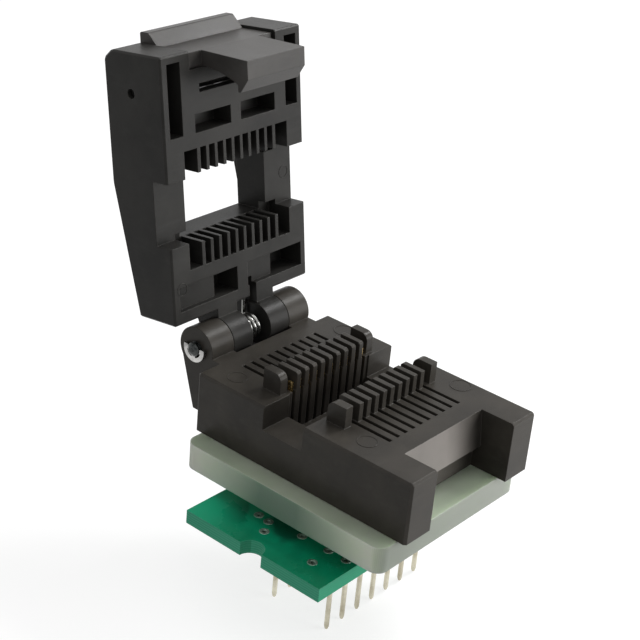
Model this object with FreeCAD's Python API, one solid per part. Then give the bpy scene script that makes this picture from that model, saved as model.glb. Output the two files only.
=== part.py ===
import FreeCAD, Part
import math
import os

# Clamshell socket for a 20-lead small-outline package, on a spacer and a board with a 14-pin dual-row grid.
# Millimetres. Origin: middle of the pin grid, at the board's underside. +X along the hinge, +Y to the hinge, +Z up.
V = FreeCAD.Vector

# pin grid and board
pin_pitch = 2.54
row_spacing = 7.62
pins_per_row = 7
pin_radius = 0.28
pin_shank_radius = 0.33
pin_below_board = 11.2
pin_above_board = 0.9
pin_tip_length = 0.45
pin_tip_flat = 0.13
pin_hole_clearance = 0.08
board_length = 27.2
board_width = 18.4
board_thickness = 1.6
board_shift_x = -3.0
board_notch_radius = 1.45
via_radius = 0.42
via_bore_radius = 0.22
via_lip = 0.04
via_places = [(4.95, 12.7), (4.8, 11.2), (3.2, 10.3), (5.5, 7.1), (2.85, 3.4), (5.6, 3.6), (5.65, 1.3)]
solder_flare = 0.42
solder_neck = 0.08
solder_height = 0.55
solder_gap = 0.005
tail_solder_flare = 0.2
drill_sides = 8

# spacer between the socket and the board
spacer_gap = 2.0
spacer_length = 23.4
spacer_width = 26.9
spacer_thickness = 3.0
spacer_corner_radius = 1.3
spacer_shift_x = -1.25
peg_radius = 0.9
peg_length = 2.4
peg_clearance = 0.05
peg_x = 8.2
tail_hole_clearance = 0.22

# socket base
base_width = 21.0
base_depth = 28.9
base_height = 7.0
edge_chamfer = 0.25
notch_half_width = 6.54
notch_depth = 4.15
notch_lean = 0.5
ledge_height = 2.7
ledge_undercut = 0.85
nest_offset_y = 2.25
nest_half_length = 6.5
nest_half_width = 2.85
nest_depth = 4.8
end_channel_half_width = 2.7
end_channel_depth = 2.75
fin_thickness = 0.6
fin_length = 2.75
fin_rise = 2.1
fin_lead_in = 0.2
post_width = 1.05
post_set_back = 0.35
post_extra_rise = 0.25
post_round = 0.9

# contacts
contact_pitch = 1.27
contacts_per_side = 10
contact_thickness = 0.3
contact_strip_width = 0.46
contact_reach = 3.4
contact_leg_reach = 8.4
contact_knee_height = 4.2
contact_arm_height = 5.2
contact_tip_rise = 0.95
contact_slot_clearance = 0.1
slot_outer_reach = 10.16
slot_floor = 1.3
tail_reach = 3.45
tail_stagger = 0.7
tail_width = 0.45
tail_below_board = 0.8

# hinge, set a little to the right of the base's middle
hinge_shift_x = 0.35
barrel_radius = 2.45
barrel_half_length = 7.8
hinge_behind_base = 3.34
hinge_above_top = 0.46
knuckle_split = 4.4
knuckle_side_gap = 0.1
knuckle_round_gap = 0.5
hinge_block_foot = 3.4
hinge_pin_radius = 0.8
hinge_fit = 0.03
pin_end_length = 0.35
pin_head_radius = 1.3
pin_head_thickness = 0.5
pin_head_gap = 0.05
clip_radius = 1.5
clip_thickness = 0.35
clip_ring_width = 0.5
clip_lip = 0.3
clip_groove_depth = 0.2
clip_side_gap = 0.08

# torsion spring that opens the lid
spring_wire = 0.45
spring_half_gap = 1.45
spring_side_clearance = 0.24
spring_pin_clearance = 0.3
spring_whole_turns = 3
spring_lid_leg = 5.2
spring_base_leg = 3.8
leg_clearance = 0.12
coil_steps = 12
latch_coil_steps = 8
wire_sides = 6

# lid
lid_gap = 0.3
open_angle = 98.0
lid_short = 0.05
lid_back_thickness = 5.5
lid_front_thickness = 8.35
lid_knee = 14.6
lid_nose_run = 0.95
lid_nose_drop = 1.15
lid_edge = 0.2
knuckle_web = 4.0
window_half_width = 3.8
rail_recess = 2.08
rail_half_span = 3.5
tray_depth = 2.05
tray_margin = 1.3
comb_side_clearance = 0.135
comb_end_clearance = 0.85
comb_roof_clearance = 1.05
end_rib_width = 0.45
post_clearance = 0.3
side_slot_inner = 7.8
side_slot_outer = 9.65
side_slot_far = 8.55
side_slot_near = 0.85
side_slot_depth = 3.4
front_pocket_far = 8.6
front_pocket_near = 6.65
front_pocket_inner = 0.75
front_pocket_outer = 6.05
front_pocket_depth = 2.6
back_pocket_start = 1.45
back_pocket_end = 4.2
back_pocket_inner = 0.8
back_pocket_outer = 9.6
back_pocket_left_step = 3.8
back_pocket_right_step = 5.2
back_pocket_shallow = 0.7
back_pocket_depth = 3.2

# latch, set out from the lid's front end
latch_pivot_back = 4.25
latch_pivot_w = 4.5
latch_pin_radius = 0.5
latch_pin_inset = 0.5
latch_fit = 0.03
latch_hub_radius = 1.15
latch_plate_half = 6.3
latch_arm_half = 4.3
latch_side_gap = 0.15
latch_stop_gap = 0.05
latch_plate_back = 1.95
latch_plate_thickness = 1.65
latch_plate_foot = 0.4
latch_outer = 7.2
latch_lip_reach = 1.4
latch_lip_depth = 1.2
latch_hook_bite = 0.4
latch_hook_throat = 0.35
latch_nose_thickness = 1.4
latch_catch_gap = 0.06
latch_arm_taper = 0.35
latch_edge = 0.25
latch_bay_back = 6.15
latch_bay_wall = 1.2
latch_slot_half = 5.2
latch_slot_far = 4.45
latch_slot_near = 3.55
latch_spring_radius = 0.58
latch_spring_wire = 0.24
latch_spring_turns = 4
latch_spring_x = 3.0
latch_spring_w = 6.42
latch_spring_end_gap = 0.02

# heights and places that follow from the sizes above
spacer_bottom = board_thickness + spacer_gap
base_bottom = spacer_bottom + spacer_thickness
base_top = base_bottom + base_height
base_front = -base_depth / 2
base_back = base_depth / 2
hinge_y = base_back + hinge_behind_base
lid_length = base_depth - lid_short
latch_pivot_u = lid_length - latch_pivot_back
latch_plate_inner = lid_length - latch_plate_back
latch_bay_start = lid_length - latch_bay_back
hinge_z = base_top + hinge_above_top
hinge_u = -hinge_behind_base
hinge_w = hinge_above_top - lid_gap
lid_face_z = base_top + lid_gap
nest_u = base_back - nest_offset_y
fin_top = base_top + fin_rise
fin_outer = nest_half_width + fin_length
post_outer = nest_half_length + post_width
window_half_length = nest_half_length - post_clearance
grid_half_length = pin_pitch * (pins_per_row - 1) / 2
first_contact_x = -contact_pitch * (contacts_per_side - 1) / 2
ledge_depth = notch_depth - notch_lean
spring_radius = hinge_pin_radius + spring_pin_clearance + spring_wire / 2
spring_turns = spring_whole_turns + (180 - open_angle) / 360
spring_half_length = spring_half_gap - spring_side_clearance - spring_wire / 2
spring_pitch = 2 * spring_half_length / spring_turns


def box(x0, x1, y0, y1, z0, z1):
    return Part.makeBox(x1 - x0, y1 - y0, z1 - z0, V(x0, y0, z0))


def rod(radius, start, end):
    axis = end - start
    return Part.makeCylinder(radius, axis.Length, start, axis)


def profile_along_x(points, x0, x1):
    """Extrude a (y, z) outline from x0 to x1."""
    outline = [V(x0, y, z) for y, z in points]
    face = Part.Face(Part.makePolygon(outline + outline[:1]))
    return face.extrude(V(x1 - x0, 0, 0))


def lid_outline(points, x0, x1):
    """Extrude a (u, w) outline: u along the closed lid from its back edge, w outwards from its inner face."""
    return profile_along_x([(base_back - u, lid_face_z + w) for u, w in points], x0, x1)


def lid_box(x0, x1, u0, u1, w0, w1):
    return box(x0, x1, base_back - u1, base_back - u0, lid_face_z + w0, lid_face_z + w1)


def lid_point(x, u, w):
    return V(x, base_back - u, lid_face_z + w)


def opened(shape):
    """Swing a piece from the closed to the open position of the lid."""
    turned = shape.copy()
    turned.rotate(V(0, hinge_y, hinge_z), V(1, 0, 0), -open_angle)
    return turned


def fused(shapes):
    return shapes[0].multiFuse(shapes[1:]).removeSplitter()


def cut_away(shape, tools):
    return shape.cut(Part.makeCompound(tools))


def pin_positions():
    for row in (-1, 1):
        for i in range(pins_per_row):
            yield row, i, V(i * pin_pitch - grid_half_length, row * row_spacing / 2, 0)


def contact_positions():
    """Side (-1 front, 1 back), number, x, and the reach of the tail from the nest's middle line."""
    for side in (-1, 1):
        for i in range(contacts_per_side):
            yield side, i, first_contact_x + i * contact_pitch, tail_reach + (i % 2) * tail_stagger


def tail_place(side, x, reach):
    return V(x, nest_offset_y + side * reach, 0)


def through(radius, place, z0, z1):
    """A drill through a plate that lies between z0 and z1."""
    return rod(radius, place + V(0, 0, z0 - 1), place + V(0, 0, z1 + 1))


def dip_pin(place):
    """Round pin with a faceted point, which steps out to an eight-sided shank where it passes through the board."""
    tip = V(0, 0, -pin_below_board)
    shoulder = tip + V(0, 0, pin_tip_length)
    facet_radius = pin_radius * math.cos(math.pi / drill_sides)
    point = tapered(regular_outline(drill_sides, pin_tip_flat, tip),
                    regular_outline(drill_sides, facet_radius, shoulder))
    shank = prism(regular_outline(drill_sides, pin_shank_radius, V(0, 0, 0)), board_thickness + pin_above_board)
    pin = fused([point, rod(pin_radius, shoulder, V(0, 0, 0)), shank])
    pin.translate(place)
    return pin


def regular_outline(sides, flat_radius, centre):
    """Corners of a regular outline whose flats lie at the given radius."""
    reach = flat_radius / math.cos(math.pi / sides)
    turns = [math.pi * (2 * k + 1) / sides for k in range(sides)]
    return [centre + V(reach * math.cos(a), reach * math.sin(a), 0) for a in turns]


def oblong_outline(half_x, half_y, centre):
    return [centre + V(half_x, half_y, 0), centre + V(-half_x, half_y, 0), centre + V(-half_x, -half_y, 0),
            centre + V(half_x, -half_y, 0)]


def prism(corners, height):
    return Part.Face(Part.makePolygon(corners + corners[:1])).extrude(V(0, 0, height))


def tapered(low, high):
    """A flat-sided solid between two like outlines at different heights."""
    rings = [low, high]
    for k in range(len(low)):
        rings.append([low[k - 1], low[k], high[k], high[k - 1]])
    solid = Part.Solid(Part.Shell([Part.Face(Part.makePolygon(ring + ring[:1])) for ring in rings]))
    return solid if solid.Volume > 0 else solid.reversed()


def drill(sides, radius, place, z0, z1):
    """A small many-sided drill through a plate that lies between z0 and z1."""
    return prism(regular_outline(sides, radius, place + V(0, 0, z0 - 1)), z1 - z0 + 2)


def tail_drill(clearance, place, z0, z1):
    """An oblong drill that a contact tail passes through."""
    corners = oblong_outline(contact_thickness / 2 + clearance, tail_width / 2 + clearance, place + V(0, 0, z0 - 1))
    return prism(corners, z1 - z0 + 2)


def solder_fillet(outline, flare, surface, direction):
    """A fillet of solder that rises from the board's surface round a lead; outline(margin, z) gives its corners."""
    top = surface + direction * solder_height
    body = tapered(outline(flare, surface), outline(solder_neck, top))
    return body.cut(prism(outline(solder_gap, min(surface, top) - 1), solder_height + 2))


def pin_fillet(place):
    return solder_fillet(lambda margin, z: regular_outline(drill_sides, pin_shank_radius + margin,
                                                           place + V(0, 0, z)), solder_flare, board_thickness, 1)


def tail_fillet(place):
    return solder_fillet(lambda margin, z: oblong_outline(contact_thickness / 2 + margin, tail_width / 2 + margin,
                                                          place + V(0, 0, z)), tail_solder_flare, 0, -1)


def via_positions():
    left = board_shift_x - board_length / 2
    return [V(left + from_left, from_front - board_width / 2, 0) for from_left, from_front in via_places]


def board():
    left = board_shift_x - board_length / 2
    plate = box(left, left + board_length, -board_width / 2, board_width / 2, 0, board_thickness)
    drills = [through(board_notch_radius, V(left, 0, 0), 0, board_thickness)]
    for row, i, place in pin_positions():
        drills.append(drill(drill_sides, pin_shank_radius + pin_hole_clearance, place, 0, board_thickness))
    for side, i, x, reach in contact_positions():
        drills.append(tail_drill(pin_hole_clearance, tail_place(side, x, reach), 0, board_thickness))
    for place in via_positions():
        drills.append(drill(drill_sides, via_radius, place, 0, board_thickness))
    return cut_away(plate, drills)


def vias():
    tubes = []
    for place in via_positions():
        wall = prism(regular_outline(drill_sides, via_radius, place - V(0, 0, via_lip)), board_thickness + 2 * via_lip)
        tubes.append(wall.cut(drill(drill_sides, via_bore_radius, place, 0, board_thickness)))
    return Part.makeCompound(tubes)


def rounded_plate(x0, x1, y0, y1, z0, z1, radius):
    plate = box(x0, x1, y0, y1, z0, z1)
    upright = [e for e in plate.Edges if e.BoundBox.ZLength > (z1 - z0) / 2]
    return plate.makeFillet(radius, upright)


def peg_places():
    return [V(side * peg_x, nest_offset_y, 0) for side in (-1, 1)]


def spacer():
    half_length = spacer_length / 2
    half_width = spacer_width / 2
    plate = rounded_plate(spacer_shift_x - half_length, spacer_shift_x + half_length, -half_width, half_width,
                          spacer_bottom, base_bottom, spacer_corner_radius)
    drills = [drill(drill_sides, peg_radius + peg_clearance, place, spacer_bottom, base_bottom)
              for place in peg_places()]
    for side, i, x, reach in contact_positions():
        drills.append(tail_drill(tail_hole_clearance, tail_place(side, x, reach), spacer_bottom, base_bottom))
    return cut_away(plate, drills)


def bent_strip(points, width, x0, x1):
    """A flat stamped strip of even width along a bent (y, z) path, mitred at its bends."""
    left = []
    right = []
    for i, (y, z) in enumerate(points):
        across_y = 0
        across_z = 0
        for a, b in ((max(i - 1, 0), max(i, 1)), (min(i, len(points) - 2), min(i + 1, len(points) - 1))):
            run_y = points[b][0] - points[a][0]
            run_z = points[b][1] - points[a][1]
            across_y -= run_z / math.hypot(run_y, run_z)
            across_z += run_y / math.hypot(run_y, run_z)
        mitre = width / (across_y ** 2 + across_z ** 2)
        left.append((y + across_y * mitre, z + across_z * mitre))
        right.append((y - across_y * mitre, z - across_z * mitre))
    return profile_along_x(left + right[::-1], x0, x1)


def contact(side, x, reach):
    """Stamped contact: a tail down to the board, a foot bar, a leg and a spring arm whose tip carries the lead."""
    x0 = x - contact_thickness / 2
    x1 = x + contact_thickness / 2
    half = contact_strip_width / 2
    foot_z = base_bottom + slot_floor + half
    knee_z = base_bottom + contact_knee_height
    arm_z = base_bottom + contact_arm_height
    curl = contact_strip_width * 1.6
    path = [(contact_leg_reach, foot_z), (contact_leg_reach, knee_z), (contact_leg_reach - curl / 2, arm_z - half),
            (contact_leg_reach - 1.5 * curl, arm_z), (contact_reach + curl, arm_z + half),
            (contact_reach + half / 2, arm_z + 2 * half), (contact_reach, arm_z + 4 * half),
            (contact_reach, base_top + contact_tip_rise)]
    arm = bent_strip([(nest_offset_y + side * s, z) for s, z in path], contact_strip_width, x0, x1)
    bar = sorted([nest_offset_y + side * (reach - tail_width / 2), nest_offset_y + side * (contact_leg_reach + half)])
    tail_y = nest_offset_y + side * reach
    return fused([arm, box(x0, x1, bar[0], bar[1], foot_z - half, foot_z + half),
                  box(x0, x1, tail_y - tail_width / 2, tail_y + tail_width / 2, -tail_below_board, foot_z)])


def base_block():
    """The moulded block with its latch notch, before the nest and the contact slots are cut."""
    block = box(-base_width / 2, base_width / 2, base_front, base_back, base_bottom, base_top)
    outside = [e for e in block.Edges if e.BoundBox.ZMin > base_top - 0.01 or e.BoundBox.ZLength > base_height / 2]
    block = block.makeChamfer(edge_chamfer, outside)
    ledge_z = base_bottom + ledge_height
    ledge_y = base_front + ledge_depth
    deep_y = ledge_y + ledge_undercut
    notch = [(base_front - 1, base_bottom - 1), (deep_y, base_bottom - 1), (deep_y, ledge_z), (ledge_y, ledge_z),
             (base_front + notch_depth, base_top), (base_front + notch_depth, base_top + 1),
             (base_front - 1, base_top + 1)]
    return block.cut(profile_along_x(notch, -notch_half_width, notch_half_width))


def hinge_axis_rod(radius, x0, x1):
    return rod(radius, V(x0, hinge_y, hinge_z), V(x1, hinge_y, hinge_z))


def on_hinge(shape):
    """Move a hinge piece by the hinge's offset from the middle of the base."""
    moved = shape.copy()
    moved.translate(V(hinge_shift_x, 0, 0))
    return moved


def hinge_block():
    """Rear block with the base's two outer knuckles and a round pocket for the lid's knuckles."""
    half = barrel_half_length
    root = base_back - edge_chamfer - 1
    slope = [(root, base_bottom), (base_back + hinge_block_foot, base_bottom), (hinge_y + barrel_radius, hinge_z),
             (hinge_y, hinge_z), (hinge_y, base_top), (root, base_top)]
    pocket_half = knuckle_split + knuckle_side_gap
    pocket_radius = barrel_radius + knuckle_round_gap
    over = box(-pocket_half, pocket_half, hinge_y - barrel_radius, hinge_y + pocket_radius + 1, hinge_z,
               hinge_z + pocket_radius)
    solid = fused([profile_along_x(slope, -half, half), hinge_axis_rod(barrel_radius, -half, half)])
    return on_hinge(cut_away(solid, [hinge_axis_rod(pocket_radius, -pocket_half, pocket_half), over,
                                     hinge_axis_rod(hinge_pin_radius + hinge_fit, -half - 1, half + 1)]))


def nest_cuts():
    """The package nest between the fins, and the shallower channels that open at both sides of the base."""
    nest = box(-nest_half_length, nest_half_length, nest_offset_y - nest_half_width, nest_offset_y + nest_half_width,
               base_top - nest_depth, base_top + 1)
    channel = box(-base_width, base_width, nest_offset_y - end_channel_half_width,
                  nest_offset_y + end_channel_half_width, base_top - end_channel_depth, base_top + 1)
    return [nest, channel]


def contact_slot(side, x, reach):
    half = contact_thickness / 2 + contact_slot_clearance
    y0, y1 = sorted([nest_offset_y + side * nest_half_width, nest_offset_y + side * slot_outer_reach])
    slot = box(x - half, x + half, y0, y1, base_bottom + slot_floor, fin_top)
    tail_y = nest_offset_y + side * reach
    tail_half = tail_width / 2 + contact_slot_clearance
    tail = box(x - half, x + half, tail_y - tail_half, tail_y + tail_half, base_bottom - 1, base_bottom + slot_floor)
    return [slot, tail]


def fin(side, x):
    """A thin plate that keeps two leads apart, standing above the base beside the nest."""
    inner = nest_offset_y + side * nest_half_width
    outer = nest_offset_y + side * fin_outer
    sloped = inner + side * fin_lead_in
    foot = base_top - 0.5
    outline = [(inner, foot), (inner, fin_top - fin_lead_in), (sloped, fin_top), (outer, fin_top), (outer, foot)]
    return profile_along_x(outline, x - fin_thickness / 2, x + fin_thickness / 2)


def end_post(side, end):
    """A taller post at each end of a row of fins, rounded towards the nest."""
    inner = nest_offset_y + side * (nest_half_width + post_set_back)
    x0, x1 = sorted([end * nest_half_length, end * post_outer])
    y0, y1 = sorted([inner, nest_offset_y + side * fin_outer])
    top = fin_top + post_extra_rise
    post = box(x0, x1, y0, y1, base_top - 0.5, top)
    rim = [e for e in post.Edges if e.BoundBox.ZMin > top - 0.01 and e.BoundBox.YMax - inner < 0.01
           and inner - e.BoundBox.YMin < 0.01]
    return post.makeFillet(post_round, rim)


def spring_slope():
    """Sideways drift of the spring wire for each millimetre along it."""
    return spring_pitch / (2 * math.pi * spring_radius)


def leg_direction(angle):
    """Direction in which the wire runs where the coil has turned through an angle from +Y towards +Z."""
    a = math.radians(angle)
    return V(spring_slope(), -math.sin(a), math.cos(a)).normalize()


def coil_point(angle, x):
    a = math.radians(angle)
    return V(x, hinge_y + spring_radius * math.cos(a), hinge_z + spring_radius * math.sin(a))


def base_leg():
    start = coil_point(-90, -spring_half_length)
    return start, start - leg_direction(-90) * spring_base_leg


def lid_leg():
    start = coil_point(90 - open_angle, spring_half_length)
    return start, start + leg_direction(90 - open_angle) * spring_lid_leg


def wire_sweep(points, wire_radius):
    """Sweep a many-sided wire along a run of points."""
    path = Part.makePolygon(points)
    start = points[0]
    section = Part.makeCircle(wire_radius, start, points[1] - start).discretize(wire_sides + 1)
    return path.makePipeShell([Part.makePolygon(section)], True, False, 1)


def hinge_spring():
    """Torsion spring round the hinge pin, with one leg in the base and one in the lid's slot."""
    foot, foot_end = base_leg()
    head, head_end = lid_leg()
    steps = round(spring_turns * coil_steps)
    coil = []
    for k in range(steps + 1):
        coil.append(coil_point(-90 + 360 * spring_turns * k / steps, spring_half_length * (2 * k / steps - 1)))
    return on_hinge(wire_sweep([foot_end] + coil + [head_end], spring_wire / 2))


def base_leg_hole():
    start, end = base_leg()
    return on_hinge(rod(spring_wire / 2 + leg_clearance, start, end + (end - start).normalize() * leg_clearance))


def socket_base():
    body = cut_away(fused([base_block(), hinge_block()]), nest_cuts())
    raised = [end_post(side, end) for side in (-1, 1) for end in (-1, 1)]
    for side in (-1, 1):
        for i in range(contacts_per_side - 1):
            raised.append(fin(side, first_contact_x + (i + 0.5) * contact_pitch))
    for place in peg_places():
        foot = place + V(0, 0, base_bottom - peg_length)
        raised.append(prism(regular_outline(drill_sides, peg_radius, foot), peg_length + 0.5))
    slots = [base_leg_hole()]
    for side, i, x, reach in contact_positions():
        slots += contact_slot(side, x, reach)
    return cut_away(fused([body] + raised), slots)


def hinge_pin():
    """Headed pin with a groove for the retaining ring at its left end."""
    head_x = barrel_half_length + pin_head_gap
    ring_x = -barrel_half_length - clip_side_gap
    end_x = ring_x - clip_thickness - pin_end_length
    shank = fused([hinge_axis_rod(hinge_pin_radius, end_x, head_x),
                   hinge_axis_rod(pin_head_radius, head_x, head_x + pin_head_thickness)])
    groove = hinge_axis_rod(pin_head_radius, ring_x - clip_thickness - 0.02, ring_x + 0.02)
    core = hinge_axis_rod(hinge_pin_radius - clip_groove_depth, ring_x - clip_thickness - 0.02, ring_x + 0.02)
    return on_hinge(shank.cut(groove.cut(core)))


def e_ring():
    """Flat retaining ring, open at the top, with three lobes that grip the groove."""
    x1 = -barrel_half_length - clip_side_gap
    x0 = x1 - clip_thickness
    grip = hinge_pin_radius - clip_groove_depth + 0.02
    inner = clip_radius - clip_ring_width
    ring = hinge_axis_rod(clip_radius, x0, x1).cut(hinge_axis_rod(inner, x0, x1))
    lobe = box(x0, x1, hinge_y - clip_ring_width / 2, hinge_y + clip_ring_width / 2, hinge_z, hinge_z + inner + 0.1)
    lobes = []
    for angle in (180, 90, -90):
        turned = lobe.copy()
        turned.rotate(V(0, hinge_y, hinge_z), V(1, 0, 0), angle)
        lobes.append(turned)
    mouth = box(x0 - 1, x1 + 1, hinge_y - clip_radius, hinge_y + clip_radius, hinge_z + clip_lip,
                hinge_z + clip_radius + 1)
    return on_hinge(fused([ring] + lobes).cut(hinge_axis_rod(grip, x0, x1)).cut(mouth))


def lid_block():
    nose = lid_front_thickness - lid_nose_drop
    outline = [(0, 0), (0, lid_back_thickness), (lid_knee, lid_front_thickness),
               (lid_length - lid_nose_run, lid_front_thickness), (lid_length, nose), (lid_length, 0)]
    block = lid_outline(outline, -base_width / 2, base_width / 2)
    return block.makeChamfer(lid_edge, block.Edges)


def lid_knuckle(side):
    """One of the lid's two knuckles, with the web that joins it to the lid's back edge."""
    x0, x1 = sorted([side * spring_half_gap, side * knuckle_split])
    root = 2 * lid_edge
    web = [(hinge_u + barrel_radius, 0), (root, 0), (root, knuckle_web), (hinge_u, hinge_w + barrel_radius),
           (hinge_u, hinge_w)]
    return on_hinge(fused([hinge_axis_rod(barrel_radius, x0, x1), lid_outline(web, x0, x1)]))


def comb_cuts():
    """Gaps that take the fins and the end posts, so that ribs are left to press on the leads."""
    gap_half = fin_thickness / 2 + comb_side_clearance
    depth = fin_rise + post_extra_rise - lid_gap + comb_roof_clearance
    outer = fin_outer + comb_end_clearance
    post_inner = nest_half_width + post_set_back - post_clearance
    end_gap_x = contact_pitch * (contacts_per_side - 2) / 2 + gap_half + end_rib_width
    cuts = []
    for side in (-1, 1):
        u0, u1 = sorted([nest_u + side * (window_half_width - 0.1), nest_u + side * outer])
        for i in range(contacts_per_side - 1):
            x = first_contact_x + (i + 0.5) * contact_pitch
            cuts.append(lid_box(x - gap_half, x + gap_half, u0, u1, -1, depth))
        u0, u1 = sorted([nest_u + side * post_inner, nest_u + side * outer])
        for end in (-1, 1):
            x0, x1 = sorted([end * end_gap_x, end * (post_outer + post_clearance)])
            cuts.append(lid_box(x0, x1, u0, u1, -1, depth))
    return cuts


def lid_openings():
    """Window over the package, side rails, and the dished outer face round the window."""
    tray_floor = lid_front_thickness - tray_depth
    tray_x = window_half_length + tray_margin
    tray_u = window_half_width + tray_margin
    above = lid_front_thickness + 1
    window = lid_box(-window_half_length, window_half_length, nest_u - window_half_width, nest_u + window_half_width,
                     -1, above)
    rails = lid_box(-base_width, base_width, nest_u - rail_half_span, nest_u + rail_half_span, -1, rail_recess)
    tray = lid_box(-tray_x, tray_x, nest_u - tray_u, nest_u + tray_u, tray_floor, above)
    return [window, rails, tray]


def lid_pockets():
    """Coring pockets of the inner face: front bar, side bars and back bar."""
    cuts = []
    for side in (-1, 1):
        x0, x1 = sorted([side * front_pocket_inner, side * front_pocket_outer])
        cuts.append(lid_box(x0, x1, lid_length - front_pocket_far, lid_length - front_pocket_near, -1,
                            front_pocket_depth))
        x0, x1 = sorted([side * side_slot_inner, side * side_slot_outer])
        cuts.append(lid_box(x0, x1, lid_length - side_slot_far, lid_length - side_slot_near, -1, side_slot_depth))
    for x0, x1, x2 in ((-back_pocket_outer, -back_pocket_left_step, -back_pocket_inner),
                       (back_pocket_inner, back_pocket_right_step, back_pocket_outer)):
        cuts.append(lid_box(x0, x1, back_pocket_start, back_pocket_end, -1, back_pocket_shallow))
        cuts.append(lid_box(x1, x2, back_pocket_start, back_pocket_end, -1, back_pocket_depth))
    return cuts


def latch_bay():
    """Bay for the latch, open at the lid's end and outer face, with a slot through its inner wall."""
    half = latch_plate_half + latch_side_gap
    stop = latch_plate_inner - latch_stop_gap
    above = lid_front_thickness + 1
    bay = lid_box(-half, half, latch_bay_start, stop + 0.1, latch_bay_wall, above)
    mouth = lid_box(-half, half, stop, lid_length + 1, -1, above)
    slot = lid_box(-latch_slot_half, latch_slot_half, lid_length - latch_slot_far, lid_length - latch_slot_near, -1,
                   latch_bay_wall + 0.1)
    pivot = rod(latch_pin_radius + latch_fit, lid_point(-base_width, latch_pivot_u, latch_pivot_w),
                lid_point(base_width, latch_pivot_u, latch_pivot_w))
    return [bay, mouth, slot, pivot]


def leg_slot():
    """Slot for the spring's upper leg in the lid's inner face, between the knuckles."""
    side = spring_wire / 2 + leg_clearance
    drift = spring_slope() * spring_lid_leg
    depth = hinge_w + spring_radius + spring_wire / 2 + leg_clearance / 2
    return on_hinge(lid_box(spring_half_length - side, spring_half_length + drift + side, -1,
                            hinge_u + spring_lid_leg + 2 * leg_clearance, -1, depth))


def lid():
    body = fused([lid_block(), lid_knuckle(-1), lid_knuckle(1)])
    bore = hinge_axis_rod(hinge_pin_radius + hinge_fit, -base_width, base_width)
    return opened(cut_away(body, comb_cuts() + lid_openings() + lid_pockets() + latch_bay() + [leg_slot(), bore]))


def latch():
    """Rocking latch: hub on its pin, plate with a finger lip, and a hook arm that snaps under the base's ledge."""
    plate_outer = latch_plate_inner + latch_plate_thickness
    ledge_w = base_bottom + ledge_height - lid_face_z
    catch_w = ledge_w - latch_catch_gap
    ledge_u = base_depth - ledge_depth
    tip_u = ledge_u - latch_hook_bite
    throat_u = ledge_u + latch_hook_throat
    nose_w = catch_w - latch_nose_thickness
    lip_w = latch_outer - latch_lip_depth
    plate = lid_outline([(latch_plate_inner, latch_plate_foot), (plate_outer, latch_plate_foot),
                         (plate_outer, lip_w - latch_lip_reach), (plate_outer + latch_lip_reach, lip_w),
                         (plate_outer + latch_lip_reach, latch_outer), (latch_plate_inner, latch_outer)],
                        -latch_plate_half, latch_plate_half)
    hub_top = latch_pivot_w + latch_hub_radius
    hub_low = latch_pivot_w - latch_hub_radius
    web = lid_outline([(latch_pivot_u, hub_low), (latch_plate_inner + 0.1, hub_low), (latch_plate_inner + 0.1, hub_top),
                       (latch_pivot_u, hub_top)], -latch_plate_half, latch_plate_half)
    hub = rod(latch_hub_radius, lid_point(-latch_plate_half, latch_pivot_u, latch_pivot_w),
              lid_point(latch_plate_half, latch_pivot_u, latch_pivot_w))
    arm_inner = latch_plate_inner - latch_arm_taper
    arm = lid_outline([(latch_plate_inner, latch_plate_foot + 1), (latch_plate_inner, -lid_gap),
                       (arm_inner, ledge_w / 2),
                       (throat_u + latch_hook_throat, catch_w + 2 * latch_hook_throat), (throat_u, catch_w),
                       (tip_u, catch_w), (tip_u, catch_w - latch_hook_throat), (tip_u + latch_nose_thickness, nose_w),
                       (plate_outer - latch_arm_taper, nose_w), (plate_outer, latch_plate_foot),
                       (plate_outer, latch_plate_foot + 1)], -latch_arm_half, latch_arm_half)
    body = fused([plate, web, hub, arm])
    lip = [e for e in body.Edges if e.BoundBox.YMax < base_back - plate_outer - latch_lip_reach + 0.01
           and e.BoundBox.XLength > latch_plate_half]
    body = body.makeFillet(latch_edge, lip)
    bore = rod(latch_pin_radius + latch_fit, lid_point(-base_width, latch_pivot_u, latch_pivot_w),
               lid_point(base_width, latch_pivot_u, latch_pivot_w))
    return opened(body.cut(bore))


def latch_pin():
    end_x = base_width / 2 - latch_pin_inset
    return opened(rod(latch_pin_radius, lid_point(-end_x, latch_pivot_u, latch_pivot_w),
                      lid_point(end_x, latch_pivot_u, latch_pivot_w)))


def latch_spring(side):
    """Compression spring between the bay's back wall and the latch's plate."""
    wire_half = latch_spring_wire / 2
    start_u = latch_bay_start + wire_half + latch_spring_end_gap
    length = latch_plate_inner - latch_bay_start - 2 * (wire_half + latch_spring_end_gap)
    steps = round(latch_spring_turns * latch_coil_steps)
    points = []
    for k in range(steps + 1):
        a = 2 * math.pi * latch_spring_turns * k / steps
        points.append(lid_point(side * latch_spring_x + latch_spring_radius * math.cos(a), start_u + length * k / steps,
                                latch_spring_w + latch_spring_radius * math.sin(a)))
    return opened(wire_sweep(points, wire_half))


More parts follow.
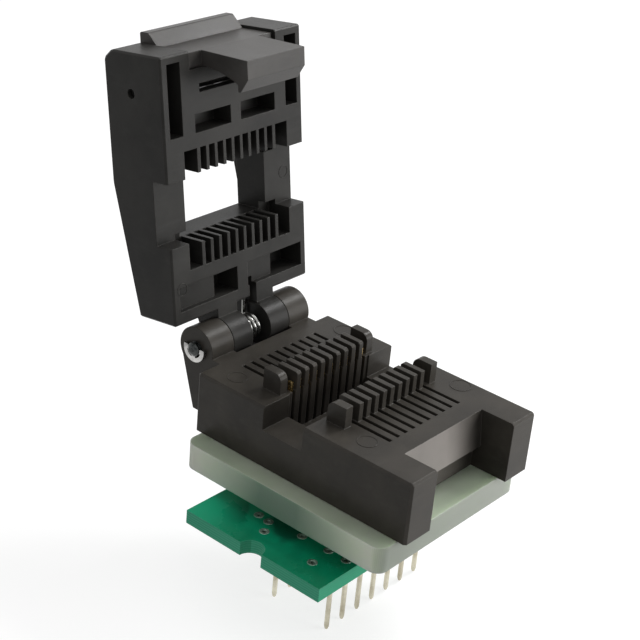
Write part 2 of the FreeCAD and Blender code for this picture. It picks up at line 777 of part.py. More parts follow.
os.makedirs("parts", exist_ok=True)
nodes = {"base_housing": socket_base(), "spacer": spacer(), "board": board(), "board_vias": vias()}
pin_solder = []
for row, i, place in pin_positions():
    nodes["dip_pin_%s_%d" % ("front" if row < 0 else "back", i + 1)] = dip_pin(place)
    pin_solder.append(pin_fillet(place))
contact_solder = []
for side, i, x, reach in contact_positions():
    nodes["contact_%s_%d" % ("front" if side < 0 else "back", i + 1)] = contact(side, x, reach)
    contact_solder.append(tail_fillet(tail_place(side, x, reach)))
nodes["pin_solder"] = Part.makeCompound(pin_solder)
nodes["contact_solder"] = Part.makeCompound(contact_solder)
nodes["hinge_pin"] = hinge_pin()
nodes["e_ring"] = e_ring()
nodes["hinge_spring"] = hinge_spring()
nodes["lid_housing"] = lid()
nodes["latch"] = latch()
nodes["latch_pin"] = latch_pin()
nodes["latch_spring_left"] = latch_spring(-1)
nodes["latch_spring_right"] = latch_spring(1)
for name, shape in nodes.items():
    shape.exportStep("parts/%s.step" % name)
print("%d parts written" % len(nodes))
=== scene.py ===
import math
import bpy
from mathutils import Matrix, Vector


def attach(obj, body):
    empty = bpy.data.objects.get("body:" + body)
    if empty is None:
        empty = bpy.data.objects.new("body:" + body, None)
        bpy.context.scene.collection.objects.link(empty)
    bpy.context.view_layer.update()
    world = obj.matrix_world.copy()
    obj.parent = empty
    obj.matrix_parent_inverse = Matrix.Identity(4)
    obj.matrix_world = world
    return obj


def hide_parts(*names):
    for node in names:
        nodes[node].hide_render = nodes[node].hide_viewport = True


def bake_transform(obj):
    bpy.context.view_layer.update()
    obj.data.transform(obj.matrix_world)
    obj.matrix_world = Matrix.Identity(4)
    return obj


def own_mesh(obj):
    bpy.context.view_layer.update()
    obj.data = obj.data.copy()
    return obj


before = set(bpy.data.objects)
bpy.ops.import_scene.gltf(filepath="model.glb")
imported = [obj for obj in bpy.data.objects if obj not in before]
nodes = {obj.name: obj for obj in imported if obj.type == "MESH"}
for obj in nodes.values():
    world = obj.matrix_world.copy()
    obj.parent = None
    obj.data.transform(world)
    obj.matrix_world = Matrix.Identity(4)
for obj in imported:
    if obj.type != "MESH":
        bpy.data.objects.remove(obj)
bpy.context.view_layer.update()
mm = 0.001
double = 1e-7  # points closer than this are one point
usual = (0.3, 0.7)  # the span in which most of a noise lies
print("frame loaded:", len(nodes), "nodes")


class Link:  # a shader socket that can stand in sums
    def __init__(self, finish, socket):
        self.finish = finish
        self.socket = socket

    def sum(self, operation, *values):
        return self.finish.node("Math", dict(enumerate(values)), operation=operation)

    def __add__(self, other):
        return self.sum("ADD", self, other)

    def __radd__(self, other):
        return self.sum("ADD", other, self)

    def __sub__(self, other):
        return self.sum("SUBTRACT", self, other)

    def __rsub__(self, other):
        return self.sum("SUBTRACT", other, self)

    def __mul__(self, other):
        return self.sum("MULTIPLY", self, other)

    def __rmul__(self, other):
        return self.sum("MULTIPLY", other, self)

    def __gt__(self, other):
        return self.sum("GREATER_THAN", self, other)

    def __lt__(self, other):
        return self.sum("LESS_THAN", self, other)

    def __abs__(self):
        return self.sum("ABSOLUTE", self)


class Finish:  # the nodes of one material, or of the sky
    def __init__(self, owner):
        self.owner = owner
        owner.use_nodes = True
        self.tree = owner.node_tree
        self.tree.nodes.clear()

    def node(self, kind, values=None, out=0, **settings):
        made = self.tree.nodes.new("ShaderNode" + kind)
        for key, value in settings.items():
            setattr(made, key, value)
        for key, value in (values or {}).items():
            if isinstance(value, Link):
                self.tree.links.new(value.socket, made.inputs[key])
            else:
                made.inputs[key].default_value = value
        if made.outputs:
            return Link(self, made.outputs[out])

    def place(self):
        return self.node("TexCoord", out="Object")

    def along(self, axis):
        return self.part(self.place(), axis)

    def part(self, vector, axis):
        return self.node("SeparateXYZ", {"Vector": vector}, out=axis)

    def facing(self, axis):  # how far a surface faces along an axis, without the bump
        return self.part(self.node("NewGeometry", out="True Normal"), axis)

    def noise(self, scale, detail=3.0, rough=0.6, stretch=(1, 1, 1)):
        at = self.node("Mapping", {"Vector": self.place(), "Scale": stretch})
        values = {"Vector": at, "Scale": scale, "Detail": detail, "Roughness": rough}
        return self.node("TexNoise", values)

    def blend(self, factor, low, high):  # a Mix node has its colours at 6 and 7 and the result at 2
        low, high = ((*c, 1) if isinstance(c, tuple) else c for c in (low, high))
        return self.node("Mix", {0: factor, 6: low, 7: high}, out=2, data_type="RGBA")

    def range(self, value, span, to=(0.0, 1.0)):
        return self.node("MapRange", dict(enumerate((value, *span, *to))))

    def soften(self, radius):  # rounds the shading of an edge
        return self.node("Bevel", {"Radius": radius}, samples=4)

    def edges(self, radius):  # rises from 0 towards an edge
        pair = {0: self.soften(radius), 1: self.node("NewGeometry", out="Normal")}
        return 1 - self.node("VectorMath", pair, out="Value", operation="DOT_PRODUCT")

    def bump(self, height, depth, strength, edge):
        values = {"Height": height, "Distance": depth, "Strength": strength}
        return self.node("Bump", {**values, "Normal": self.soften(edge)})

    def surface(self, **values):  # Base_Color stands for the socket Base Color, and so on
        named = {key.replace("_", " "): value for key, value in values.items()}
        self.node("OutputMaterial", {"Surface": self.node("BsdfPrincipled", named)})
        return self.owner


def startFinish(name):
    return Finish(bpy.data.materials.new(name))


# moulded dark plastic of the base, the lid and the latch
housing = {
    "dark": (0.030, 0.027, 0.023),
    "light": (0.050, 0.045, 0.038),
    "patches": 160.0,  # from dark to light
    "patchSpan": (0.35, 0.70),
    "bloom": (0.062, 0.057, 0.050),  # greyer, where the mould has polished it
    "streaks": 420.0,
    "streakStretch": (0.35, 1.0, 2.2),
    "streakSpan": (0.55, 0.80),
    "bloomShare": 0.45,
    "edgeWearAndSheen": (0.120, 0.112, 0.102),  # paler along the edges: wear, and a painted highlight
    "edge": 0.12 * mm,
    "edgeSpan": (0.01, 0.20),
    "wearAndSheenShare": 0.45,
    "wearAndSheenLeast": 0.4,  # where the streaks are weak
    "roughness": (0.30, 0.41),
    "grain": 26000.0,
    "grainShare": 0.10,
    "grainDepth": 0.012 * mm,
    "grainStrength": 0.5,
    "specular": 0.14,
}

# slanted wall of the base's notch, with a painted highlight that fades into painted shade towards
# the right prong
notchHighlight = {
    "paintedHighlight": (0.240, 0.222, 0.205),
    "steepest": -0.8,
    "back": -11.3 * mm,
    "front": -9 * mm,
    "low": 6.7 * mm,
    "foot": 9.35 * mm,  # below it the painted highlight is weak
    "footShare": 0.22,
    "left": 0.5 * mm,  # painted highlight even up to here, then fading into painted shade towards the right prong
    "right": 5.9 * mm,
    "rightShare": 0.02,
    "patchSpan": (0.2, 0.8),
    "patchShare": (0.75, 1.1),
}


def paintNotchHighlight(f, colour, patches, v):
    y, z = f.along("Y"), f.along("Z")
    wall = (f.facing("Y") < v["steepest"]) * (y > v["back"]) * (y < v["front"]) * (z > v["low"])
    # painted highlight on the notch's slanted wall, fading into painted shade towards the right
    highlightShare = f.range(f.along("X"), (v["left"], v["right"]), (1.0, v["rightShare"]))
    highlightShare = highlightShare * f.range(patches, v["patchSpan"], v["patchShare"])
    foot = v["footShare"] + (1 - v["footShare"]) * (z > v["foot"])
    return f.blend(wall * highlightShare * foot, colour, v["paintedHighlight"])


def housingPlastic(name, v, paintedLightTone=(1, 1, 1), wall=None):  # tone scales the colours: painted shade on the lid, painted light on the latch
    f = startFinish(name)
    patches = f.noise(v["patches"], detail=4.0)
    streaks = f.noise(v["streaks"], stretch=v["streakStretch"])
    grain = f.noise(v["grain"], detail=2.0, rough=0.7)
    dark, light, bloom = (tuple(c * t for c, t in zip(v[key], paintedLightTone))
                          for key in ("dark", "light", "bloom"))
    colour = f.blend(f.range(patches, v["patchSpan"]), dark, light)
    colour = f.blend(f.range(streaks, v["streakSpan"], (0.0, v["bloomShare"])), colour, bloom)
    # edge wear, and a painted highlight along the edges
    wearAndSheen = f.range(f.edges(v["edge"]), v["edgeSpan"], (0.0, v["wearAndSheenShare"]))
    wearAndSheen = wearAndSheen * f.range(streaks, usual, (v["wearAndSheenLeast"], 1.0))
    colour = f.blend(wearAndSheen, colour, v["edgeWearAndSheen"])
    if wall:
        colour = paintNotchHighlight(f, colour, patches, wall)
    roughness = f.range(patches, usual, v["roughness"]) + (grain - 0.5) * v["grainShare"]
    fine = f.bump(grain, v["grainDepth"], v["grainStrength"], v["edge"])
    return f.surface(Base_Color=colour, Roughness=roughness, Normal=fine,
                     Specular_IOR_Level=v["specular"] * paintedLightTone[1])


# translucent spacer plate
plate = {
    "face": (0.34, 0.40, 0.30),  # the flat faces
    "faceShare": 0.3,
    "faceSpan": (0.3, 0.8),
    "shade": (0.17, 0.26, 0.19),  # the sawn side edges over the board
    "open": (0.89, 0.96, 0.79),  # the left one's ends, where light comes up through the plate
    "far": (0.66, 0.71, 0.60),  # painted light on the right one's ends
    "front": (0.30, 0.33, 0.28),  # painted shade on the edges at the front and back, at their left end
    "right": (0.42, 0.45, 0.39),  # and at their right end
    "frontSpan": (0.1, 0.95),
    "halfWidth": 11 * mm,
    "covered": 2.5 * mm,
    "clear": 11.5 * mm,
    "clouds": 230.0,
    "cloudReach": 2 * mm,
    "saw": 2600.0,
    "sawStretch": (0.12, 0.12, 1.0),
    "sawDepth": 0.03 * mm,
    "sawStrength": 0.35,
    "edge": 0.15 * mm,
    "roughness": (0.40, 0.52),
    "transmission": 0.2,
    "refraction": 1.49,
    "subsurface": 0.6,
    "subsurfaceReach": (2.4 * mm, 3.0 * mm, 2.1 * mm),
}


def spacerPlastic(name, v):
    f = startFinish(name)
    clouds = f.noise(v["clouds"], rough=0.55)
    # painted light and shade on the sawn edges: light through the plate at the ends, shade over the
    # board in the middle, and shade by which way an edge faces
    across = f.range(f.along("X"), (-v["halfWidth"], v["halfWidth"]))
    fromMiddle = abs(f.along("Y")) + (clouds - 0.5) * v["cloudReach"]
    lit = f.range(fromMiddle, (v["covered"], v["clear"]))
    edge = f.blend(lit, v["shade"], f.blend(across, v["open"], v["far"]))
    turned = f.range(abs(f.facing("Y")), v["frontSpan"])
    edge = f.blend(turned, edge, f.blend(across, v["front"], v["right"]))
    face = f.blend(clouds * v["faceShare"], v["face"], v["open"])
    colour = f.blend(f.range(abs(f.facing("Z")), v["faceSpan"]), edge, face)
    saw = f.noise(v["saw"], detail=2.0, stretch=v["sawStretch"])
    fine = f.bump(saw, v["sawDepth"], v["sawStrength"], v["edge"])
    roughness = f.range(clouds, usual, v["roughness"])
    return f.surface(Base_Color=colour, Roughness=roughness, Normal=fine, IOR=v["refraction"],
                     Transmission_Weight=v["transmission"], Subsurface_Weight=v["subsurface"],
                     Subsurface_Radius=v["subsurfaceReach"], Subsurface_Scale=1.0)


# green board: mask on both faces, bare laminate at the edges
laminate = {
    "mask": (0.001, 0.190, 0.088),
    "maskLight": (0.002, 0.280, 0.140),
    "maskSpan": (0.35, 0.65),
    "clouds": 190.0,
    "open": (0.009, 0.490, 0.255),  # mask beyond the spacer's shadow
    "shadow": (1.5 * mm, 8.5 * mm),  # from the shadow's middle to its end
    "openShare": 0.85,
    "blotch": (0.002, 0.075, 0.042),  # darker patches of mask, from near the left end on, fading out towards +Y
    "blotchScale": 240.0,
    "blotchSpan": (0.47, 0.56),
    "blotchShare": 0.75,
    "blotchAcross": (-15.2 * mm, -12.6 * mm),
    "blotchDeep": (4 * mm, 7 * mm),
    "blotchLeast": 0.15,
    "core": (0.040, 0.350, 0.205),
    "glass": (0.090, 0.460, 0.290),
    "weave": 1100.0,
    "weaveSpan": (0.2, 0.9),
    "weaveShare": 0.7,
    "frontFacing": -0.7,
    "frontShare": 0.5,  # painted shade: how much darker the sawn front edge is than the left one
    "roughness": (0.24, 0.34),
    "sawnRoughness": 0.3,
    "dimples": 5200.0,
    "dimpleDepth": 0.02 * mm,
    "dimpleStrength": 0.3,
    "edge": 0.06 * mm,
    "coat": 0.12,
    "coatRoughness": 0.12,
    "specular": 0.25,
}


def boardLaminate(name, v):
    f = startFinish(name)
    flat = abs(f.facing("Z")) > 0.5
    y = f.along("Y")
    clouds = f.noise(v["clouds"], detail=4.0)
    mask = f.blend(f.range(clouds, v["maskSpan"]), v["mask"], v["maskLight"])
    mask = f.blend(f.range(y, v["shadow"], (0.0, v["openShare"])), mask, v["open"])
    blotch = f.range(f.noise(v["blotchScale"], detail=2.0, rough=0.5), v["blotchSpan"],
                     (0.0, v["blotchShare"]))
    blotch = blotch * f.range(f.along("X"), v["blotchAcross"])
    blotch = blotch * f.range(y, v["blotchDeep"], (1.0, v["blotchLeast"]))
    mask = f.blend(blotch, mask, v["blotch"])
    threads = {"Vector": f.place(), "Scale": v["weave"], "Distortion": 1.5, "Detail": 2.0}
    weave = f.node("TexWave", threads, wave_type="BANDS", bands_direction="Z")
    core = f.blend(f.range(weave, v["weaveSpan"]) * v["weaveShare"], v["core"], v["glass"])
    # painted shade on the sawn front edge
    core = f.blend((f.facing("Y") < v["frontFacing"]) * v["frontShare"], core, v["mask"])
    roughness = f.range(clouds, usual, v["roughness"]) + (1 - flat) * v["sawnRoughness"]
    dimples = f.noise(v["dimples"], detail=2.0)
    fine = f.bump(dimples, v["dimpleDepth"], v["dimpleStrength"], v["edge"])
    return f.surface(Base_Color=f.blend(flat, core, mask), Roughness=roughness, Normal=fine,
                     Coat_Weight=flat * v["coat"], Coat_Roughness=v["coatRoughness"],
                     Specular_IOR_Level=v["specular"])


# metals: colour in hollows, colour in the open, roughness, grain size, stretch along the grain
metals = {
    "contactGold": ((0.62, 0.40, 0.13), (0.88, 0.66, 0.30), (0.18, 0.34), 1900.0, (1, 1, 0.25)),
    "pinPlate": ((0.36, 0.32, 0.23), (0.80, 0.76, 0.62), (0.20, 0.34), 2300.0, (1, 1, 0.03)),
    "solder": ((0.42, 0.43, 0.43), (0.74, 0.74, 0.72), (0.16, 0.34), 2400.0, (1, 1, 1)),
    "tinned": ((0.10, 0.20, 0.15), (0.40, 0.50, 0.43), (0.35, 0.52), 1400.0, (1, 1, 1)),
    "steel": ((0.22, 0.22, 0.22), (0.66, 0.65, 0.63), (0.18, 0.34), 1700.0, (0.2, 1, 1)),
    "blackSteel": ((0.030, 0.030, 0.030), (0.075, 0.073, 0.070), (0.30, 0.45), 2100.0, (0.2, 1, 1)),
    "oiledSteel": ((0.006, 0.008, 0.008), (0.115, 0.120, 0.118), (0.20, 0.38), 4200.0, (1, 1, 1)),
    "springWire": ((0.09, 0.09, 0.085), (0.42, 0.42, 0.40), (0.12, 0.22), 2600.0, (1, 0.3, 0.3)),
}

# what all metals have in common
metalSurface = {
    "tarnish": 380.0,
    "grainShare": 0.4,
    "tarnishSpan": (0.45, 0.9),
    "grainSpan": (0.25, 0.75),
    "lineDepth": 0.008 * mm,
    "lineStrength": 0.4,
    "edge": 0.04 * mm,
    "metallic": 0.95,
}


def metalFinish(name, v, metal):
    hollow, bright, roughness, grainSize, stretch = metal
    f = startFinish(name)
    tarnish = f.noise(v["tarnish"], detail=4.0)
    grain = f.noise(grainSize, stretch=stretch)
    colour = f.blend(f.range(tarnish + grain * v["grainShare"], v["tarnishSpan"]), hollow, bright)
    lines = f.bump(grain, v["lineDepth"], v["lineStrength"], v["edge"])
    return f.surface(Base_Color=colour, Roughness=f.range(grain, v["grainSpan"], roughness),
                     Metallic=v["metallic"], Normal=lines)


finishes = {
    "housingBase": housingPlastic("housingBase", housing, wall=notchHighlight),
    # the lid's colours darker and greyer as painted shade, the latch's paler and bluer as painted
    # light from above
    "housingLid": housingPlastic("housingLid", housing, paintedLightTone=(0.68, 0.73, 0.80)),
    "housingLatch": housingPlastic("housingLatch", housing, paintedLightTone=(1.30, 1.36, 1.50)),
    "spacer": spacerPlastic("spacerPlastic", plate),
    "board": boardLaminate("boardLaminate", laminate),
}
for name, metal in metals.items():
    finishes[name] = metalFinish(name, metalSurface, metal)
print("finishes made:", len(finishes))

# which CAD node takes which finish, by the start of its name; the first that fits counts
dressing = {
    "base_housing": "housingBase",
    "lid_housing": "housingLid",
    "latch_spring": "springWire",
    "latch_pin": "blackSteel",
    "latch": "housingLatch",
    "spacer": "spacer",
    "board_vias": "solder",
    "board": "board",
    "contact_solder": "solder",
    "pin_solder": "solder",
    "contact": "contactGold",
    "dip_pin": "pinPlate",
    "hinge_spring": "springWire",
    "hinge_pin": "oiledSteel",
    "e_ring": "steel",
}
for nodeName, piece in nodes.items():
    finishName = next(finish for start, finish in dressing.items() if nodeName.startswith(start))
    piece.data.materials.clear()
    piece.data.materials.append(finishes[finishName])
print("nodes dressed")


def startPiece(name, add, **spot):
    bpy.ops.object.select_all(action="DESELECT")
    add(**spot)
    piece = bpy.context.object
    piece.name = name
    piece.data.name = name
    return piece


def selectAll():
    bpy.ops.object.mode_set(mode="EDIT")
    bpy.ops.mesh.select_all(action="SELECT")


def closePiece(piece, finish, angle=32):  # merges doubles, faces outwards, smooth below the angle
    selectAll()
    bpy.ops.mesh.remove_doubles(threshold=double)
    bpy.ops.mesh.normals_make_consistent(inside=False)
    bpy.ops.object.mode_set(mode="OBJECT")
    bpy.ops.object.transform_apply(location=True, rotation=True, scale=True)
    bpy.ops.object.shade_smooth_by_angle(angle=math.radians(angle))
    piece.data.materials.clear()
    piece.data.materials.append(finishes[finish])


def turnPiece(name, rings, sides, capped=True):  # a ring drawn up through each (radius, height)
    fill = "NGON" if capped else "NOTHING"
    piece = startPiece(name, bpy.ops.mesh.primitive_circle_add, vertices=sides, fill_type=fill,
                       radius=rings[0][0] * mm, location=(0, 0, rings[0][1] * mm))
    bpy.ops.object.transform_apply(location=True, rotation=False, scale=False)
    selectAll()
    extrude = bpy.ops.mesh.extrude_region_move if capped else bpy.ops.mesh.extrude_edges_move
    for (was, low), (radius, high) in zip(rings, rings[1:]):
        extrude(TRANSFORM_OT_translate={"value": (0, 0, (high - low) * mm)})
        share = radius / was
        bpy.ops.transform.resize(value=(share, share, 1), center_override=(0, 0, high * mm))
    bpy.ops.object.mode_set(mode="OBJECT")
    return piece


def turnTube(name, rings, sides):  # the same, but hollow: the last ring meets the first
    return turnPiece(name, (*rings, rings[0]), sides, capped=False)


def copyPiece(piece, name, shift):
    twin = piece.copy()
    twin.data = piece.data.copy()
    twin.name = name
    twin.data.name = name
    bpy.context.collection.objects.link(twin)
    twin.data.transform(Matrix.Translation(Vector(shift) * mm))
    return twin


def joinPieces(rows, name):
    bpy.ops.object.select_all(action="DESELECT")
    for piece in rows:
        piece.select_set(True)
    bpy.context.view_layer.objects.active = rows[0]
    bpy.ops.object.join()
    rows[0].name = name
    rows[0].data.name = name
    return rows[0]


def joinCopies(first, name, places):
    rows = [copyPiece(first, "%s%d" % (name, k), place) for k, place in enumerate(places)]
    bpy.data.objects.remove(first)
    return joinPieces(rows, name)


def settle(piece, body, slotName, *stands):
    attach(piece, body)
    if stands:
        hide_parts(*stands)


def rowOf(v):  # places along a row, middle at 0
    return [(i - (v["count"] - 1) / 2) * v["pitch"] for i in range(v["count"])]


# the fourteen turned pins, with blunt tips and a shoulder inside the board
pins = {
    "pitch": 2.54,
    "rowHalf": 3.81,
    "count": 7,
    "sides": 20,
    "rings": ((0.10, -11.2), (0.16, -11.17), (0.20, -11.08), (0.275, -10.78), (0.28, -10.6),
              (0.28, 0.0), (0.33, 0.0), (0.33, 2.42), (0.29, 2.48), (0.22, 2.5)),
}


def addPins(v):
    first = turnPiece("turnedPin", v["rings"], v["sides"])
    closePiece(first, "pinPlate")
    for row, side in (("front", -1), ("back", 1)):
        for i, x in enumerate(rowOf(v)):
            number = "%s_%d" % (row, i + 1)
            pin = copyPiece(first, "turnedPin_" + number, (x, side * v["rowHalf"], 0))
            settle(pin, "base", "pin_metal", "dip_pin_" + number)
    bpy.data.objects.remove(first)


addPins(pins)

# solder that has wetted up each pin on top of the board, with a hollow flank
pinFillets = {
    "sides": 20,
    "smooth": 60,
    "rings": ((0.335, 1.60), (0.78, 1.60), (0.76, 1.63), (0.62, 1.67), (0.50, 1.76), (0.425, 1.92),
              (0.385, 2.10), (0.35, 2.16), (0.335, 2.16)),
}


def addPinFillets(v, grid):
    first = turnTube("pinFillet", v["rings"], v["sides"])
    closePiece(first, "solder", v["smooth"])
    places = [(x, side * grid["rowHalf"], 0) for side in (-1, 1) for x in rowOf(grid)]
    settle(joinCopies(first, "pinFillets", places), "base", "solder_metal", "pin_solder")


addPinFillets(pinFillets, pins)

# solder drawn up round the oblong tail of each contact under the board
tailFillets = {
    "sides": 16,
    "smooth": 60,
    "rings": ((0.06, -0.56), (0.20, -0.55), (0.235, -0.50), (0.25, -0.36), (0.275, -0.20),
              (0.33, -0.09), (0.43, -0.02), (0.45, 0.0)),
    "slim": 0.84,
    "pitch": 1.27,
    "count": 10,
    "middle": 2.25,
    "reach": 3.45,
    "stagger": 0.7,
}


def addTailFillets(v):
    first = turnPiece("tailFillet", v["rings"], v["sides"])
    selectAll()
    bpy.ops.transform.resize(value=(v["slim"], 1, 1), center_override=(0, 0, 0))
    bpy.ops.object.mode_set(mode="OBJECT")
    closePiece(first, "solder", v["smooth"])
    places = []
    for side in (-1, 1):
        for i, x in enumerate(rowOf(v)):
            places.append((x, v["middle"] + side * (v["reach"] + (i % 2) * v["stagger"]), 0))
    settle(joinCopies(first, "tailFillets", places), "base", "solder_metal", "contact_solder")


addTailFillets(tailFillets)

# plated holes: a tube with a flat pad on each face of the board
eyelets = {
    "sides": 24,
    "smooth": 40,
    "rings": ((0.55, 1.60), (0.53, 1.635), (0.30, 1.64), (0.25, 1.62), (0.23, 1.55), (0.23, 0.05),
              (0.25, -0.02), (0.30, -0.04), (0.53, -0.035), (0.55, 0.0), (0.41, 0.0), (0.41, 1.60)),
    "left": -16.6,
    "front": -9.2,
    "places": ((4.95, 12.7), (4.8, 11.2), (3.2, 10.3), (5.5, 7.1), (2.85, 3.4), (5.6, 3.6),
               (5.65, 1.3)),
}


def addEyelets(v):
    first = turnTube("eyelet", v["rings"], v["sides"])
    closePiece(first, "tinned", v["smooth"])
    places = [(v["left"] + x, v["front"] + y, 0) for x, y in v["places"]]
    settle(joinCopies(first, "eyelets", places), "base", "solder_metal", "board_vias")


addEyelets(eyelets)
print("pins, solder and plated holes made")


def startWire(name, v, start):  # the cut end of a wire that runs along Y
    return startPiece(name, bpy.ops.mesh.primitive_circle_add, vertices=v["sides"],
                      radius=v["wire"] / 2 * mm, fill_type="NOTHING",
                      rotation=(math.radians(90), 0, 0), location=start)


def screwWire(piece, axis, turns, rise, steps):
    screw = piece.modifiers.new("coil", "SCREW")
    screw.axis = axis
    screw.angle = math.radians(360 * turns)
    screw.screw_offset = rise * mm
    screw.steps = steps
    screw.render_steps = steps
    bpy.ops.object.modifier_apply(modifier="coil")


def drawOut(piece, centre, reach, run):  # lengthens the open end round centre by run, and caps it
    bpy.ops.object.mode_set(mode="EDIT")
    bpy.ops.mesh.select_mode(type="EDGE")
    bpy.ops.mesh.select_non_manifold(extend=False)
    bpy.ops.object.mode_set(mode="OBJECT")
    corners = piece.data.vertices
    for corner in corners:
        corner.select = corner.select and (corner.co - centre).length < reach
    for edge in piece.data.edges:
        edge.select = all(corners[i].select for i in edge.vertices)
    bpy.ops.object.mode_set(mode="EDIT")
    bpy.ops.mesh.extrude_edges_move(TRANSFORM_OT_translate={"value": run})
    bpy.ops.mesh.edge_face_add()
    bpy.ops.object.mode_set(mode="OBJECT")


# torsion spring round the hinge pin: its left leg stays with the base, its right leg with the lid
hingeCoil = {
    "wire": 0.45,
    "radius": 1.325,
    "turns": 3 + 82 / 360,
    "start": -90,  # the angle at which the coil begins, below the pin
    "half": 0.985,
    "middle": 0.35,
    "axisY": 17.79,
    "axisZ": 14.06,
    "lidLeg": 5.2,
    "baseLeg": 3.8,
    "endReach": 0.52,  # of the wire's thickness, to find the points of an end
    "sides": 14,
    "stepsInTurn": 36,
    "smooth": 50,
}


def addHingeCoil(v):
    left = v["middle"] - v["half"]
    start = (left * mm, v["axisY"] * mm, (v["axisZ"] - v["radius"]) * mm)
    piece = startWire("hingeCoil", v, start)
    bpy.context.scene.cursor.location = (left * mm, v["axisY"] * mm, v["axisZ"] * mm)
    bpy.ops.object.origin_set(type="ORIGIN_CURSOR")
    bpy.ops.object.transform_apply(location=False, rotation=True, scale=True)
    screwWire(piece, "X", v["turns"], 2 * v["half"], round(v["turns"] * v["stepsInTurn"]))
    bpy.ops.object.transform_apply(location=True, rotation=True, scale=True)
    slope = 2 * v["half"] / v["turns"] / (2 * math.pi * v["radius"])
    legs = ((-1, v["start"], v["baseLeg"]), (1, v["start"] + 360 * v["turns"], v["lidLeg"]))
    for side, turned, length in legs:
        a = math.radians(turned)
        run = Vector((slope, -math.sin(a), math.cos(a))).normalized() * side * length
        centre = Vector((v["middle"] + side * v["half"], v["axisY"] + v["radius"] * math.cos(a),
                         v["axisZ"] + v["radius"] * math.sin(a)))
        drawOut(piece, centre * mm, v["wire"] * v["endReach"] * mm, run * mm)
    closePiece(piece, "springWire", v["smooth"])
    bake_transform(piece)
    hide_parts("hinge_spring")


addHingeCoil(hingeCoil)

# pin of the hinge: centre mark, chamfer and ring groove at the left end, rounded head at the right
hingePin = {
    "sides": 36,
    "middle": 0.35,
    "rings": ((0.08, -8.44), (0.13, -8.46), (0.27, -8.58), (0.40, -8.58), (0.46, -8.56),
              (0.74, -8.36), (0.80, -8.30), (0.80, -8.25), (0.60, -8.25), (0.60, -7.86),
              (0.80, -7.86), (0.80, 7.85), (1.22, 7.85), (1.30, 7.92), (1.30, 8.20),
              (1.22, 8.30), (1.05, 8.35), (0.30, 8.35)),
}


def addHingePin(v, coil):
    pin = turnPiece("hingePin", v["rings"], v["sides"])
    pin.rotation_euler = (0, math.radians(90), 0)
    pin.location = (v["middle"] * mm, coil["axisY"] * mm, coil["axisZ"] * mm)
    closePiece(pin, "oiledSteel")
    settle(pin, "base", "steel", "hinge_pin")


addHingePin(hingePin, hingeCoil)

# the two compression springs behind the latch: a closed turn at each end, four open ones between
latchCoils = {
    "wire": 0.24,
    "radius": 0.45,
    "runs": ((1, 0.25), (4, 3.42), (1, 0.25)),  # turns and rise
    "sides": 10,
    "stepsInTurn": 20,
    "smooth": 50,
    "spread": 3.0,
    "foot": (27.860, 39.082),
    "lean": -8.0,
    "keep": 0.862,
}


def coilRun(name, v, foot, turns, rise):
    piece = startWire(name, v, (v["radius"] * mm, 0, foot * mm))
    bpy.ops.object.transform_apply(location=True, rotation=True, scale=True)
    screwWire(piece, "Z", turns, rise, turns * v["stepsInTurn"])
    return piece


def addLatchCoils(v):
    runs = []
    foot = 0
    for turns, rise in v["runs"]:
        runs.append(coilRun("latchCoil%d" % len(runs), v, foot, turns, rise))
        foot += rise
    first = joinPieces(runs, "latchCoil")
    selectAll()
    bpy.ops.mesh.remove_doubles(threshold=double)
    bpy.ops.mesh.fill_holes(sides=0)
    bpy.ops.object.mode_set(mode="OBJECT")
    lean = math.radians(v["lean"])
    first.rotation_euler = (lean, 0, 0)
    first.location = (0, v["foot"][0] * mm, v["foot"][1] * mm)
    closePiece(first, "springWire", v["smooth"])
    for side, word in ((-1, "left"), (1, "right")):
        coil = copyPiece(first, "latchCoil_" + word, (side * v["spread"], 0, 0))
        settle(coil, "lid", "spring_steel", "latch_spring_" + word)
        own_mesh(coil)
    bpy.data.objects.remove(first)


addLatchCoils(latchCoils)
print("springs made")

# fine rings of flash that the ejector pins left on the mouldings: (x, y, z, radius)
ejectorRings = {
    "wide": 0.07,
    "high": 0.035,
    "sides": 36,
    "smooth": 30,
    "base": ((8.9, -5.8, 13.6, 1.2), (8.9, 10.6, 13.6, 1.2), (-8.1, 11.0, 13.6, 1.1),
             (-7.6, -6.4, 13.6, 1.1)),
    "baseLean": 0,
    "lid": ((-9.15, 18.646, 21.301, 0.72), (9.3, 21.847, 29.132, 0.72)),
    "lidLean": 82,
}


def addEjectorRings(v, body, finish):
    rows = []
    for k, (x, y, z, radius) in enumerate(v[body]):
        inner, high = radius - v["wide"], v["high"]
        rings = ((inner, -high), (inner, high), (radius, high), (radius, -high))
        ring = turnTube("%sRing%d" % (body, k), rings, v["sides"])
        ring.rotation_euler = (math.radians(v[body + "Lean"]), 0, 0)
        ring.location = (x * mm, y * mm, z * mm)
        closePiece(ring, finish, v["smooth"])
        rows.append(ring)
    settle(joinPieces(rows, body + "Rings"), body, "housing_plastic")


addEjectorRings(ejectorRings, "base", "housingBase")
addEjectorRings(ejectorRings, "lid", "housingLid")
print("ejector rings made")


def shownBehind(f):  # 1 for what the camera, a gloss or a clear piece sees, 0 for light on a piece
    rays = ("Is Camera Ray", "Is Glossy Ray", "Is Transmission Ray")
    camera, gloss, clear = (f.node("LightPath", out=ray) for ray in rays)
    return camera.sum("MAXIMUM", camera, gloss.sum("MAXIMUM", gloss, clear))


# pale paper under the pins
floor = {
    "size": 3.0,
    "height": -11.25 * mm,
    "colour": (0.36, 0.36, 0.36),
    "fibres": 900.0,
    "fibreShare": 0.985,
    "behind": 0.74,  # glow that makes it white to the camera
}


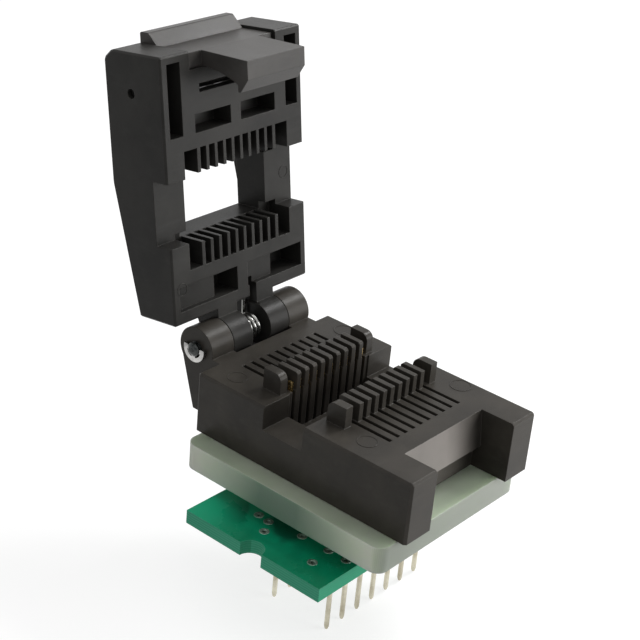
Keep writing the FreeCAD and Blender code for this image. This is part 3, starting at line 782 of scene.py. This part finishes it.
def addFloor(v):
    bpy.ops.object.select_all(action="DESELECT")
    bpy.ops.mesh.primitive_plane_add(size=v["size"], location=(0, 0, v["height"]))
    plane = bpy.context.object
    plane.name = "floor"
    f = startFinish("floorPaper")
    glow = f.node("Emission", {"Color": (1, 1, 1, 1), "Strength": shownBehind(f) * v["behind"]})
    fibre = tuple(c * v["fibreShare"] for c in v["colour"])
    paper = f.node("BsdfDiffuse", {"Color": f.blend(f.noise(v["fibres"]), fibre, v["colour"])})
    f.node("OutputMaterial", {"Surface": f.node("AddShader", {0: paper, 1: glow})})
    plane.data.materials.append(f.owner)


addFloor(floor)

# soft lamps: place, aim and size in metres, power in watts
lamps = {
    "overhead": {"at": (-0.02, 0.05, 0.26), "aim": (0, 0.01, 0.02), "size": 0.20, "watts": 0.14},
    "right": {"at": (0.28, -0.05, 0.28), "aim": (0, 0, 0.02), "size": 0.11, "watts": 0.86},
    "front": {"at": (0.15, -0.24, 0.06), "aim": (0, 0, 0.01), "size": 0.20, "watts": 0.74},
}


def addLamp(name, v):
    bpy.ops.object.light_add(type="AREA", location=v["at"])
    lamp = bpy.context.object
    lamp.name = name + "Lamp"
    lamp.data.size = v["size"]
    lamp.data.energy = v["watts"]
    lamp.rotation_euler = (Vector(v["aim"]) - Vector(v["at"])).to_track_quat("-Z", "Y").to_euler()


for name, lamp in lamps.items():
    addLamp(name, lamp)

# white sky: how strongly it lights the pieces, and how bright it looks
sky = {"light": 0.40, "seen": 1.0}


def addSky(v):
    world = bpy.data.worlds.new("studio")
    bpy.context.scene.world = world
    f = Finish(world)
    light = f.node("Background", {"Color": (1, 1, 1, 1), "Strength": v["light"]})
    seen = f.node("Background", {"Color": (1, 1, 1, 1), "Strength": v["seen"]})
    both = f.node("MixShader", {0: shownBehind(f), 1: light, 2: seen})
    f.node("OutputWorld", {"Surface": both})


addSky(sky)
bpy.context.scene.view_settings.view_transform = "Standard"
print("floor, lamps and sky set")

# camera, set to the view of the photograph (millimetres, directions of the image's axes)
cameraView = {
    "eye": (-115.32, -84.70, 94.58),
    "right": (0.65381, -0.75194, 0.08443),
    "down": (-0.29519, -0.35621, -0.88655),
    "ahead": (0.69671, 0.55471, -0.45486),
    "focal": 1561.815,
    "frame": 640,
    "sensor": 36.0,
    "nearest": 5,
    "farthest": 5000,
}


def addCamera(v):
    bpy.ops.object.camera_add()
    camera = bpy.context.object
    camera.name = "photoCamera"
    camera.data.sensor_width = v["sensor"]
    camera.data.lens = v["focal"] * v["sensor"] / v["frame"]
    turn = Matrix((v["right"], [-n for n in v["down"]], [-n for n in v["ahead"]])).transposed()
    camera.matrix_world = Matrix.Translation(Vector(v["eye"]) * mm) @ turn.to_4x4()
    camera.data.clip_start = v["nearest"] * mm
    camera.data.clip_end = v["farthest"] * mm
    bpy.context.scene.camera = camera


addCamera(cameraView)
print("camera set")
